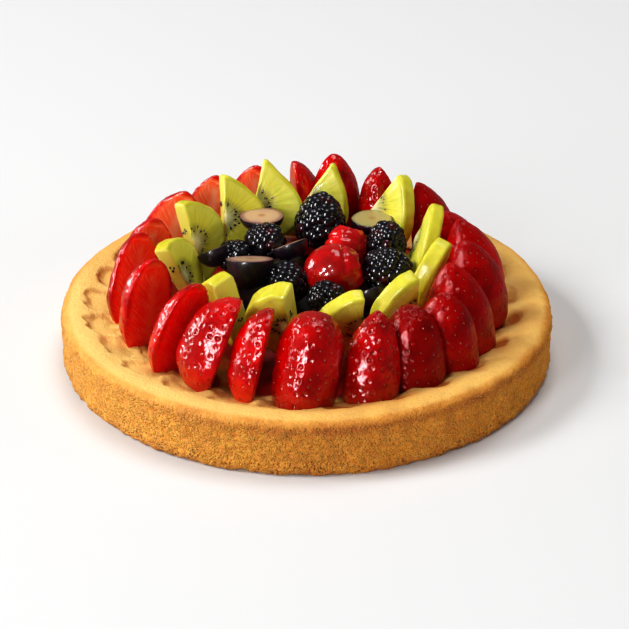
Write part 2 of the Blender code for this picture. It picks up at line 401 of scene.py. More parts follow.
def crust_material():
    paint = Paint("shortcrust")
    grain = paint.noise(480, 5, 0.75)
    patches = paint.noise(60, 4, 0.6)
    blend = paint.math("ADD", paint.math("MULTIPLY", grain, 0.5), paint.math("MULTIPLY", patches, 0.5))
    colour = paint.ramp(
        blend,
        (0.36, (0.60, 0.205, 0.028)),
        (0.50, (0.86, 0.390, 0.062)),
        (0.64, (0.99, 0.57, 0.140)),
    )
    # The value pale holds really paler pastry and also painted light on the rim and side on the lit left.
    colour = paint.mix(paint.value("pale"), colour, (0.98, 0.70, 0.23))
    sandy = paint.value("sandy")
    colour = paint.mix(paint.math("MULTIPLY", sandy, 0.66), colour, (1.0, 0.43, 0.027))
    crumbs = paint.ramp(
        paint.noise(560, 4, 0.8), (0.38, (0.72, 0.44, 0.15)), (0.49, (0.95, 0.84, 0.64)), (0.60, (1.0, 1.0, 1.0))
    )
    colour = paint.mix(paint.math("MULTIPLY", sandy, 0.9), colour, crumbs, "MULTIPLY")
    # The value baked holds real browning and also painted shade on the side turned away from the key light.
    baked = paint.value("baked")
    baked = paint.math("ADD", baked, paint.math("MULTIPLY", paint.math("SUBTRACT", blend, 0.5), 0.5))
    colour = paint.mix(paint.math("MAXIMUM", baked, 0.0, clamp=True), colour, (0.42, 0.100, 0.007))
    speckle = paint.ramp(paint.cells(820), (0.15, 1.0), (0.55, 0.0))
    grains = paint.math("MULTIPLY", paint.math("MULTIPLY", speckle, sandy), 0.55)
    colour = paint.mix(grains, colour, (0.98, 0.49, 0.075))
    pores = paint.ramp(paint.cells(430), (0.10, 1.0), (0.30, 0.0))
    where = paint.ramp(paint.noise(110, 2), (0.50, 0.0), (0.62, 0.25))
    where = paint.math("ADD", where, paint.math("MULTIPLY", paint.value("foot"), 0.45))
    holes = paint.math("MULTIPLY", paint.math("MULTIPLY", pores, where), sandy)
    colour = paint.mix(paint.math("MULTIPLY", holes, 0.8), colour, (0.20, 0.05, 0.006))
    height = paint.math("ADD", paint.math("MULTIPLY", grain, 0.5), grains)
    height = paint.math("SUBTRACT", height, paint.math("MULTIPLY", holes, 2.0))
    paint.set(
        Base_Color=colour,
        Roughness=0.62,
        Specular_IOR_Level=0.25,
        Normal=paint.bump(height, 1.0, 0.0018),
    )
    paint.soft(0.10, (1.0, 0.45, 0.15), 0.002)
    return paint.material


def custard_material():
    """Cream, painted deep red where the value berry is 1 and nearly black where juice is 1; both marks are partly fruit
    stain and partly painted shade between the fruit.
    """
    paint = Paint("custard")
    colour = paint.ramp(
        paint.noise(60, 3), (0.35, (0.80, 0.46, 0.10)), (0.65, (0.90, 0.60, 0.20))
    )
    # Deep red under the strawberries: partly fruit stain, partly painted shade.
    red = paint.ramp(paint.noise(70, 3), (0.35, (0.18, 0.004, 0.003)), (0.65, (0.40, 0.012, 0.008)))
    colour = paint.mix(paint.value("berry"), colour, red)
    # Nearly black under the fruit heap: partly fruit stain, partly painted shade.
    juice_and_shade_colour = paint.ramp(paint.noise(90, 3), (0.35, (0.010, 0.004, 0.006)), (0.65, (0.030, 0.006, 0.010)))
    colour = paint.mix(paint.value("juice"), colour, juice_and_shade_colour)
    paint.set(
        Base_Color=colour,
        Roughness=0.35,
        Specular_IOR_Level=0.3,
        Coat_Weight=0.5,
        Coat_Roughness=0.12,
        Normal=paint.bump(paint.noise(250, 4), 0.3, 0.0006),
    )
    paint.soft(0.15, (1.0, 0.7, 0.3), 0.002)
    return paint.material


def strawberry_material(name, orange, dark, wetness):
    """Skin where the value cut is 0, flesh where it is 1."""
    paint = Paint(name)
    broad = paint.noise(70, 3)
    # Darker reds for a higher dark: partly darker skin, partly painted shade on berries that stand in shade.
    reds = [red * (1 - 0.52 * dark) for red in (0.32, 0.56, 0.78)]
    skin = paint.ramp(
        broad, (0.32, (reds[0], 0.0003, 0.0008)), (0.52, (reds[1], 0.0006, 0.0008)), (0.74, (reds[2], 0.002, 0.0015))
    )
    skin = paint.mix(paint.value("pale"), skin, (0.80, 0.10, 0.012))
    # Painted shade: the skin is darkened in the seed dimples.
    skin = paint.mix(paint.math("MULTIPLY", paint.value("pit"), 0.22), skin, (0.16, 0.0004, 0.001))
    around = paint.node(
        "ShaderNodeCombineXYZ",
        {0: paint.math("MULTIPLY", paint.value("fibre"), 11.0), 1: paint.math("MULTIPLY", paint.value("core"), 1.6)},
    )
    streaks = paint.noise(1.0, 4, 0.6, vector=around)
    wobble = paint.math("MULTIPLY", paint.math("SUBTRACT", streaks, 0.5), 0.55)
    depth = paint.math("ADD", paint.value("core"), wobble)
    red, light = (0.95, 0.002, 0.002), (1.0, 0.15, 0.04)
    middle = tuple(r + (l - r) * orange for r, l in zip(red, light))
    pale = tuple(m + (p - m) * (0.02 + 0.8 * orange) for m, p in zip(middle, (0.95, 0.42, 0.22)))
    flesh = paint.ramp(depth, (0.02, pale), (0.24, middle), (0.78, middle), (0.95, (0.60, 0.004, 0.003)))
    inner = paint.ramp(paint.value("core"), (0.72, 1.0), (0.90, 0.0))
    flat = paint.math("MULTIPLY", paint.value("cut"), inner)
    fibres = paint.math("MULTIPLY", paint.ramp(streaks, (0.46, 0.0), (0.62, 1.0)), inner)
    fibres = paint.math("MULTIPLY", fibres, 0.10 + 0.65 * orange)
    flesh = paint.mix(fibres, flesh, (0.98, 0.42, 0.22))
    colour = paint.mix(paint.value("cut"), skin, flesh)
    wet = paint.bump(paint.noise(150, 2, 0.5), 0.45, 0.0014)
    paint.set(
        Base_Color=colour,
        Roughness=0.38,
        Specular_IOR_Level=0.35,
        Specular_Tint=(1.0, 0.02, 0.02, 1.0),
        Coat_Weight=paint.math("SUBTRACT", wetness, paint.math("MULTIPLY", flat, 0.75 * wetness)),
        Coat_Roughness=0.04 + 0.03 * (1 - wetness),
        Coat_IOR=1.38,
        Normal=paint.bump(paint.noise(700, 3), 0.35, 0.0004, wet),
        Coat_Normal=paint.bump(paint.noise(420, 3), 0.35 + 0.45 * (1 - wetness), 0.0008, wet),
    )
    paint.soft(0.35, (1.0, 0.05, 0.04), 0.006)
    return paint.material


def kiwi_material():
    """The values reach and bearing are polar about the slice's core, across is the peel side."""
    paint = Paint("kiwi_flesh")
    reach = paint.value("reach")
    around = paint.node(
        "ShaderNodeCombineXYZ",
        {0: paint.math("MULTIPLY", paint.value("bearing"), 9.0), 1: paint.math("MULTIPLY", reach, 1.2), 2: paint.value("number")},
    )
    rays = paint.noise(1.6, 3, 0.6, vector=around)
    blotch = paint.noise(110, 3)
    where = paint.math("ADD", reach, paint.math("MULTIPLY", paint.math("SUBTRACT", rays, 0.5), 0.22))
    face = paint.ramp(
        where,
        (0.10, (0.782, 0.744, 0.387)),
        (0.20, (0.689, 0.646, 0.264)),
        (0.36, (0.559, 0.519, 0.075)),
        (0.54, (0.815, 0.760, 0.075)),
        (0.80, (0.880, 0.830, 0.110)),
        (0.97, (0.850, 0.800, 0.150)),
    )
    shade = paint.ramp(rays, (0.40, 0.88), (0.60, 1.0))
    face = paint.mix(0.8, face, shade, "MULTIPLY")
    band = paint.ramp(blotch, (0.35, (0.58, 0.525, 0.025)), (0.65, (0.75, 0.69, 0.065)))
    smudge = paint.ramp(reach, (0.13, 0.0), (0.24, 1.0), (0.36, 0.9), (0.52, 0.0))
    smudge = paint.math("MULTIPLY", smudge, paint.ramp(rays, (0.44, 1.0), (0.56, 0.0)))
    face = paint.mix(paint.math("MULTIPLY", smudge, 0.6), face, (0.20, 0.155, 0.04))
    colour = paint.mix(paint.value("peel"), face, band)
    wet = paint.bump(paint.math("ADD", rays, paint.noise(420, 3)), 0.18, 0.0005)
    paint.set(
        Base_Color=colour,
        Roughness=0.42,
        Specular_IOR_Level=0.2,
        Coat_Weight=0.22,
        Coat_Roughness=0.10,
        Normal=wet,
    )
    paint.soft(0.40, (0.6, 1.0, 0.1), 0.004)
    return paint.material


def plain_material(name, dark, light, scale, roughness, coat, bump=0.15):
    paint = Paint(name)
    colour = paint.ramp(paint.noise(scale, 3), (0.35, dark), (0.65, light))
    paint.set(
        Base_Color=colour,
        Roughness=roughness,
        Coat_Weight=coat,
        Coat_Roughness=0.05,
        Normal=paint.bump(paint.noise(scale * 4, 3), bump, 0.0003),
    )
    return paint


def bramble_material():
    paint = Paint("bramble_skin")
    tint = paint.value("tint")
    colour = paint.ramp(
        tint, (0.0, (0.004, 0.004, 0.007)), (0.86, (0.008, 0.006, 0.010)), (1.0, (0.045, 0.004, 0.008))
    )
    paint.set(
        Base_Color=colour,
        Roughness=0.35,
        Specular_IOR_Level=0.05,
        Coat_Weight=1.0,
        Coat_Roughness=0.08,
        Coat_IOR=1.42,
        Normal=paint.bump(paint.noise(500, 3), 0.15, 0.0003),
    )
    return paint.material


def red_berry_material(name, light):
    paint = plain_material(
        name, (0.38 * light, 0.001, 0.0015), (0.70 * light, 0.002, 0.002), 90, 0.35, 1.0
    )
    paint.set(Specular_IOR_Level=0.1, Coat_IOR=1.4)
    paint.soft(0.3, (1.0, 0.1, 0.06), 0.004)
    return paint.material


def grape_material():
    """Skin where the value cut is 0; the flesh's colour runs from its middle to its rim."""
    paint = Paint("grape_skin")
    skin = paint.ramp(
        paint.noise(120, 3), (0.35, (0.010, 0.005, 0.012)), (0.60, (0.016, 0.008, 0.016)), (0.80, (0.035, 0.018, 0.030))
    )
    rays = paint.noise(1.5, 3, vector=paint.node(
        "ShaderNodeCombineXYZ",
        {0: paint.math("MULTIPLY", paint.value("bearing"), 6.0), 1: paint.value("reach")},
    ))
    where = paint.math("ADD", paint.value("reach"), paint.math("MULTIPLY", paint.math("SUBTRACT", rays, 0.5), 0.25))
    red_flesh = paint.ramp(
        where, (0.05, (0.42, 0.17, 0.08)), (0.25, (0.58, 0.36, 0.21)), (0.72, (0.54, 0.33, 0.21)), (0.90, (0.26, 0.11, 0.10))
    )
    green_flesh = paint.ramp(
        where, (0.05, (0.34, 0.23, 0.07)), (0.25, (0.43, 0.33, 0.11)), (0.85, (0.40, 0.33, 0.12)), (0.95, (0.24, 0.19, 0.08))
    )
    flesh = paint.mix(paint.value("green"), red_flesh, green_flesh)
    colour = paint.mix(paint.value("cut"), skin, flesh)
    paint.set(
        Base_Color=colour,
        Roughness=0.4,
        Specular_IOR_Level=0.2,
        Coat_Weight=0.4,
        Coat_Roughness=0.1,
        Normal=paint.bump(paint.noise(400, 3), 0.15, 0.0003),
    )
    return paint.material


# ---------------------------------------------------------------- pastry and custard


def crimp_place(angle):
    """(which crimp, place across it from -1 to 1): the ridges between crimps are at -1 and 1."""
    drift = CRIMP_DRIFT * (1 + np.cos(np.radians(angle - CRIMP_DRIFT_TOWARDS)))
    turn = (angle - drift - CRIMP_START) * CRIMPS / 360
    which = np.floor(turn)
    return np.mod(which, CRIMPS).astype(int), 2 * (turn - which) - 1


def make_crust():
    columns = 800
    angle = np.arange(columns) * 360.0 / columns
    outside = through(
        ((112.0, 0.0), (116.0, 0.0), (118.6, 0.5), (119.5, 2.6), (119.8, 8), (120.0, 14),
         (120.2, 21.4), (119.9, 24.6), (118.6, 26.8), (116.0, 28.0), (111.8, 28.4)), 56)
    inside = through(
        ((111.8, 28.4), (108.0, 27.9), (104.0, 26.7), (100.5, 25.4), (97.4, 23.8), (94.6, 22.4),
         (91.6, 21.4), (89.4, 20.7), (88.6, 19.8)), 50)[1:]
    under = np.array([(90.5, 19.0), (94.8, 18.2), (94.8, 12.0), (94.2, 7.6), (91.0, 7.0), (50, 7.0), (8, 7.0)])
    bottom = np.array([(r, 0.0) for r in (8, 40, 80, 104)])
    section = np.vstack([bottom, outside, inside, under])
    top_row = len(bottom) + len(outside) + len(inside)
    radius = np.repeat(section[:, :1], columns, axis=1)
    height = np.repeat(section[:, 1:], columns, axis=1)
    degrees = np.repeat(angle[None], len(section), axis=0)
    theta = np.radians(degrees)
    row = np.repeat(np.arange(len(section))[:, None], columns, axis=1)
    facing_up = (row > len(bottom) + 40) & (row < top_row)

    # Thumbprints pushed outwards into the inner slope: steep at the outer end, rising inwards.
    which, across = crimp_place(degrees)
    right = smoothstep(-0.3, 0.7, np.cos(theta))
    rng = np.random.default_rng(5)
    shift = rng.uniform(-0.10, 0.10, CRIMPS)[which]
    reach = (9.0 + rng.uniform(-1.2, 1.0, CRIMPS)[which]) * (1 - 0.25 * np.maximum(0, -np.sin(theta)) ** 3)
    wide = rng.uniform(0.80, 0.93, CRIMPS)[which]
    depth = rng.uniform(2.0, 3.0, CRIMPS)[which] * (1 - 0.35 * right) * (1 - 0.35 * np.maximum(0, -np.sin(theta)) ** 3)
    flat = np.stack([radius * np.cos(theta), radius * np.sin(theta), height], axis=-1)
    reach = reach * (1 - 0.30 * right)
    wide = wide * (1 - 0.22 * right)
    ragged = 0.30 * lumps(flat, 6, 31) + 0.13 * lumps(flat, 2.5, 32)
    u = (across - shift) / wide
    v = (radius - 100.0) / reach
    rho = np.sqrt(np.abs(u) ** 2.3 + np.maximum(v, 0) ** 2.3) + ragged
    inward = smoothstep(-0.9, 0.7, v)
    press = (1 - smoothstep(0.60 - 0.4 * right, 1.06 + 0.08 * right, rho)) * (0.30 + 0.70 * inward) * smoothstep(-1.25, -0.6, v)
    pillow = 0.55 * np.exp(-((u / 0.5) ** 2) - ((v - 0.1) / 0.45) ** 2)
    height = height - np.where(facing_up, depth * press * (1 - 0.35 * pillow), 0)
    ridge = np.exp(-(((np.abs(across) - 1) / 0.30) ** 2)) * np.exp(-(((radius - 95.5) / 4.5) ** 2))
    height = height + np.where(facing_up, 1.6 * ridge * (1 + 0.8 * lumps(flat, 12, 33)), 0)
    crease = np.exp(-(((rho - 0.86) / 0.10) ** 2)) * smoothstep(-0.2, 0.5, v) * facing_up

    points = np.stack([radius * np.cos(theta), radius * np.sin(theta), height], axis=-1)
    upper = smoothstep(6, 24, points[..., 2])
    outer_share = smoothstep(98, 112, radius)
    wave = 0.55 * lumps(flat, 34, 1) + 0.35 * lumps(flat, 14, 2)
    grain = 0.22 * lumps(flat, 1.9, 3) + 0.18 * lumps(flat, 4.5, 4)
    side = smoothstep(115.5, 118.5, radius) * (1 - smoothstep(24.0, 27.5, height))
    out = np.stack([np.cos(theta), np.sin(theta), np.zeros_like(theta)], axis=-1)
    push = (wave * 0.7 + grain * (0.3 + 1.9 * side)) * outer_share
    # The foot of the side is crumbly, with small pieces broken away.
    crumble = smoothstep(5.0, 0.0, height) * smoothstep(112, 117, radius)
    push = push - crumble * (1.7 * np.abs(lumps(flat, 5.5, 7)) + 0.9 * np.abs(lumps(flat, 2.6, 8)))
    push = np.minimum(push + 0.9 * smoothstep(9, 2, height) * smoothstep(112, 117, radius), 121.2 - radius)
    lip = smoothstep(97, 89, radius) * (row >= len(bottom) + 56)
    push = push + lip * (1.6 * lumps(flat, 11, 13) + 0.8 * lumps(flat, 4, 14))
    points = points + out * push[..., None]
    lift = 0.50 * lumps(flat, 30, 5) + (0.3 + 0.25 * right) * lumps(flat, 9, 6) + 0.16 * lumps(flat, 3.2, 9)
    lift = lift * upper * (height > 15) * (row < top_row)
    lift = lift + 0.5 * lip * lumps(flat, 5, 15) * (row < top_row)
    points[..., 2] += np.minimum(lift, 28.9 - points[..., 2])

    # Browner in the creases and along the edge of the rim. Painted shade as browning: on the side and edge turned away
    # from the key light on the left, on the front rim and on the rim next to the fruit on the shaded side.
    edge = np.exp(-(((height - 24.5) / 3.2) ** 2)) * smoothstep(115, 118, radius)
    away_from_light = smoothstep(0.1, 0.95, np.cos(theta + 1.15))
    side_all = smoothstep(112, 117, radius) * (1 - facing_up)
    behind = smoothstep(0.0, 0.7, np.sin(theta)) * smoothstep(0.0, 0.5, -np.cos(theta))
    # Edge browning, mostly painted shade on the edge turned away from the key light.
    browned_and_shaded = 0.55 * edge * (0.15 + 0.85 * away_from_light) * (0.7 + 0.5 * lumps(flat, 10, 11))
    browned_and_shaded = browned_and_shaded + 0.90 * (1 + 0.4 * behind - 0.65 * right) * crease * (0.65 + 0.6 * lumps(flat, 8, 16))
    browned_and_shaded = browned_and_shaded + 0.60 * right * smoothstep(0.1, 0.8, press) * inward * facing_up * (1 + 0.9 * lumps(flat, 5, 17))
    # Painted shade: the side turned away from the key light is darkened.
    browned_and_shaded = browned_and_shaded + side * (0.06 + 0.30 * away_from_light + 0.20 * lumps(flat, 5, 19)) + 0.10 * lumps(flat, 16, 12)
    browned_and_shaded = browned_and_shaded + 0.40 * smoothstep(5, 0, height + 3 * lumps(flat, 9, 18)) * side_all
    browned_and_shaded = browned_and_shaded + 0.18 * behind * facing_up * (1 + 0.8 * lumps(flat, 9, 24))
    smudge = right * facing_up * np.exp(-((u / 0.72) ** 2) - ((v + 0.1) / 0.85) ** 2)
    browned_and_shaded = browned_and_shaded + 0.90 * smudge * (0.7 + 1.5 * lumps(flat, 6, 25))
    browned_and_shaded = browned_and_shaded + 0.40 * right * facing_up * np.maximum(lumps(flat, 10, 27), 0)
    # Partly darker pastry, partly painted shade below the front strawberries: the front rim is darkened.
    in_front = smoothstep(0.55, 0.95, -np.sin(theta))
    browned_and_shaded = browned_and_shaded + 0.20 * in_front * facing_up * smoothstep(112, 102, radius)
    # Painted shade on the rim next to the fruit, on the side turned away from the key light.
    browned_and_shaded = browned_and_shaded + 0.22 * away_from_light * facing_up * smoothstep(113, 101, radius) * (1 + 0.8 * lumps(flat, 7, 20))
    pale = 0.5 * smoothstep(0.9, 0.3, np.abs(rho - 1.35)) * smoothstep(108, 98, radius) * facing_up
    pale = pale + 0.45 * right * facing_up * np.exp(-(((np.abs(across) - 1) / 0.35) ** 2)) * smoothstep(111, 102, radius)
    # Painted light: the rim top and the side on the left, where the key light falls, are made paler.
    lit_left = smoothstep(0.2, 1.0, -np.cos(theta - 0.55))
    pale = pale + (0.35 + 0.60 * lit_left + 0.25 * right) * smoothstep(118.5, 115, radius) * facing_up + 0.60 * lit_left * side
    faces = [tuple(face) for face in grid_faces(len(section), columns)]
    faces.append(tuple(reversed(range(columns))))
    faces.append(tuple((len(section) - 1) * columns + i for i in range(columns)))
    body = Body().join(
        points,
        faces,
        baked=np.clip(browned_and_shaded, 0, 1).reshape(-1),
        sandy=np.clip(side + 0.13, 0, 1).reshape(-1),
        pale=np.clip(pale, 0, 1).reshape(-1),
        foot=(smoothstep(11, 2, height) * side_all).reshape(-1),
    )
    return add_piece("crust", body, crust_material(), ["crust"])


# Where cream shows between the pastry and the strawberries: angle, radius, width and height.
CREAM_PATCHES = (
    (191.5, 95.5, 5.0, 7.0),
    (200, 96.0, 4.5, 6.5),
    (211, 95.0, 5.0, 6.5),
    (243, 92.0, 5.0, 4.5),
    (259, 89.0, 5.0, 3.5),
    (177, 96.0, 5.0, 7.0),
    (135, 96.0, 5.0, 6.0),
    (102, 96.0, 6.0, 6.0),
)


def make_custard():
    columns = 300
    angle = np.radians(np.arange(columns) * 360.0 / columns)
    radii = np.concatenate([[94.2, 94.5], np.linspace(99.5, 2.0, 72)])
    rings = []
    for index, r in enumerate(radii):
        x, y = r * np.cos(angle), r * np.sin(angle)
        if index < 2:
            rings.append(np.stack([x, y, np.full(columns, (8.0, 17.0)[index])], axis=-1))
            continue
        flat = np.stack([x, y, np.full(columns, CUSTARD_LEVEL)], axis=-1)
        away = np.hypot(x, y - 4.0)
        mound = smoothstep(43.0, 36.0, away) * (8.0 + 0.09 * y)
        level = CUSTARD_LEVEL - 0.6 + mound + (0.5 * lumps(flat, 9, 21) + 0.25 * lumps(flat, 4, 22))
        level = level - 2.4 * smoothstep(88, 95, r)
        for turn, out, width, height in CREAM_PATCHES:
            spot = polar(out, turn)
            gap = np.hypot(x - spot.x, y - spot.y) / width
            level = level + height * np.exp(-(gap**2)) * (1 + 0.2 * lumps(flat, 3, 23))
        rings.append(np.stack([x, y, level], axis=-1))
    points = np.array(rings)
    # Painted shade: the dark middle under the fruit heap and the red ring under the strawberries, which reaches further
    # out on the right, are partly fruit stain and partly painted shade.
    away = np.hypot(points[..., 0], points[..., 1] - 4.0)
    juice = smoothstep(52, 42, away + 2.5 * lumps(points, 7, 24))
    away = np.hypot(points[..., 0], points[..., 1])
    right = 6 * smoothstep(0.1, 0.5, points[..., 0] / np.maximum(away, 1))
    berry = smoothstep(88, 83, away - right + 2.0 * lumps(points, 6, 25))
    faces = [tuple(face) for face in grid_faces(len(radii), columns)]
    faces.append(tuple(reversed(range(columns))))
    faces.append(tuple((len(radii) - 1) * columns + i for i in range(columns)))
    body = Body().join(points, faces, juice=juice.reshape(-1), berry=berry.reshape(-1))
    return add_piece("custard", body, custard_material(), ["custard"])


# ---------------------------------------------------------------- strawberries


def berry_width(share, blunt, stem):
    back = np.clip((BERRY_WIDEST - share) / BERRY_WIDEST, 0, 1)
    along = np.clip((share - BERRY_WIDEST) / (1 - BERRY_WIDEST), 0, 1)
    low = 1 - (1 - stem) * back**2
    high = (1 - along ** (1.6 + 0.7 * blunt)) ** (0.85 - 0.25 * blunt)
    return np.where(share < BERRY_WIDEST, low, high)


def scatter(spots, spacing):
    """Keeps the random spots that are at least the spacing apart."""
    kept = []
    for index in range(len(spots)):
        if all(np.linalg.norm(spots[index] - spots[other]) > spacing for other in kept):
            kept.append(index)
    return kept


def make_strawberry(number, row, seeds):
    angle, radius, turn, lean_in, lean_back, long, wide, deep, blunt, skew, orange, dimple, dark = row
    length, width, depth = BERRY_LENGTH * long, BERRY_WIDTH * wide, BERRY_DEPTH * deep
    rng = np.random.default_rng(100 + number)
    rows, skin_columns, cut_columns = (106, 100, 24) if 4 <= number <= 11 else (70, 66, 24)
    columns = skin_columns + cut_columns
    share = 0.02 + 0.98 * np.sin(np.linspace(0, math.pi / 2, rows)) ** 1.1
    share[-1] = 0.9995
    stem = 0.92 if 6 <= number <= 10 else BERRY_STEM
    half = 0.5 * width * berry_width(share, blunt, stem)
    below = depth * berry_width(share, blunt, stem)
    centre = skew * 0.5 * width * smoothstep(0.25, 1.0, share)
    t = np.linspace(0, math.pi, skin_columns)
    across = np.linspace(-1, 1, cut_columns + 2)[1:-1]
    bulge = 0.9 * (1 - np.abs(across) ** 5)
    x = np.hstack([half[:, None] * np.cos(t), half[:, None] * across]) + centre[:, None]
    y = np.hstack(
        [-below[:, None] * np.sin(t), bulge * np.minimum(1, half / 6)[:, None]]
    )
    z = np.repeat((share * length)[:, None], columns, axis=1)
    points = np.stack([x, y, z], axis=-1).reshape(-1, 3)
    cut = np.repeat(np.arange(columns)[None] >= skin_columns, rows, axis=0).reshape(-1)
    skin = ~cut
    up = np.repeat(share, columns)
    middle = np.stack([np.repeat(centre, columns), np.zeros(rows * columns), points[:, 2]], axis=1)
    away = points - middle
    away /= np.maximum(np.linalg.norm(away, axis=1), 1e-6)[:, None]
    swell = 0.8 * lumps(points, 14, number * 3) + 0.35 * lumps(points, 6, number * 3 + 1)
    inside = np.clip(-points[:, 1] / (0.4 * depth), 0, 1)
    swell = swell * (1 - 0.6 * smoothstep(0.85, 1, up)) * (0.3 + 0.7 * inside) * skin
    points = points + away * swell[:, None]
    outward = away.copy()
    outward[:, 2] = 0.9 * smoothstep(0.3, 1.0, up)
    outward /= np.linalg.norm(outward, axis=1)[:, None]

    # Seeds lie in dimples, scattered over the skin about evenly.
    choices = np.nonzero(skin & (up > 0.05) & (up < 0.985))[0]
    area = half[choices // columns] + 3
    choices = rng.choice(choices, 330, p=area / area.sum())
    kept = choices[scatter(points[choices], 3.5)]
    pit, lift = np.zeros(len(points)), np.zeros(len(points))
    for spot in kept:
        gap = np.linalg.norm(points - points[spot], axis=1)
        near = (gap < 4) & skin
        hollow = np.exp(-((gap[near] / 0.95) ** 2))
        pit[near] = np.maximum(pit[near], hollow)
        ring = np.exp(-(((gap[near] - 1.6) / 0.55) ** 2))
        lift[near] -= dimple * rng.uniform(0.5, 1.35) * (hollow - 0.5 * ring)
    points = points + outward * lift[:, None]

    matrix = turned(
        polar(radius, angle, CUSTARD_LEVEL - 2.0), (lean_back, -lean_in, angle + turn), "YXZ"
    )
    core = np.abs(x.reshape(-1) - np.repeat(centre, columns)) / np.repeat(
        np.maximum(half, 0.5), columns
    )
    core = np.maximum(np.clip(core, 0, 1), smoothstep(0.80, 1.0, up))
    pale = smoothstep(0.30, 0.06, up) * (1 - dark) * (0.5 + 0.5 * lumps(points, 9, number + 2)) * skin
    fibre = up * 3 - core * 0.9 + np.sign(x.reshape(-1)) * 0.3
    faces = [tuple(face) for face in grid_faces(rows, columns)]
    faces.append(tuple(reversed(range(columns))))
    faces.append(tuple((rows - 1) * columns + i for i in range(columns)))
    body = Body().join(
        points, faces, cut=cut, core=core, fibre=fibre, pale=0.5 * pale, pit=pit * skin
    )
    name = f"strawberry_{number:02d}"
    paint = strawberry_material(f"{name}_flesh", orange, dark, 0.4 if 8 <= number <= 14 else 1.0)
    add_piece(name, body, paint, [name], matrix)

    for spot in kept:
        if -points[spot, 1] < 0.12 * depth:
            continue
        along = np.array([0, 0, 1.0]) - outward[spot] * outward[spot, 2]
        add_seed(
            seeds, matrix, points[spot] + outward[spot] * 0.05, outward[spot], along,
            rng.uniform(1.0, 1.3),
        )


def add_seed(seeds, matrix, spot, normal, along, size):
    """Lays a seed on a surface of a placed piece, if it's above the custard."""
    shape, faces = seed_shape()
    along = along / np.linalg.norm(along)
    frame = np.stack([along, np.cross(normal, along), normal])
    rotation = np.array(matrix)[:3, :3]
    world = (shape * size) @ frame + spot
    world = world @ rotation.T + np.array(matrix)[:3, 3]
    if world[:, 2].min() > CUSTARD_LEVEL + 0.5:
        seeds.join(world, faces)


# ---------------------------------------------------------------- kiwi


def kiwi_outline(reach, arc):
    """The half-moon's edge with cut-off, rounded corners, and which points are on the peel."""
    turn = np.linspace(-math.pi / 2, math.pi / 2, 400)
    bow = np.stack([reach * np.cos(turn) ** (2 * arc), reach * np.sin(turn)], axis=1)
    straight = np.stack([np.zeros(200), np.linspace(reach, -reach, 202)[1:-1]], axis=1)
    line = np.vstack([bow, straight])
    line[:, 1] = np.clip(line[:, 1], -0.93 * reach, 0.93 * reach)
    peel = np.concatenate([np.ones(400), np.zeros(200)])
    count = len(line)
    kernel = np.hanning(31)
    kernel /= kernel.sum()
    smooth = [
        np.convolve(np.concatenate([column[-15:], column, column[:15]]), kernel, "valid")
        for column in (line[:, 0], line[:, 1], peel)
    ]
    line = np.stack(smooth[:2], axis=1)
    run = np.concatenate([[0], np.cumsum(np.linalg.norm(np.diff(line, axis=0), axis=1))])
    places = np.linspace(0, run[-1], 91)[:-1]
    return (
        np.stack([np.interp(places, run, line[:, k]) for k in range(2)], axis=1),
        np.interp(places, run, smooth[2]),
    )


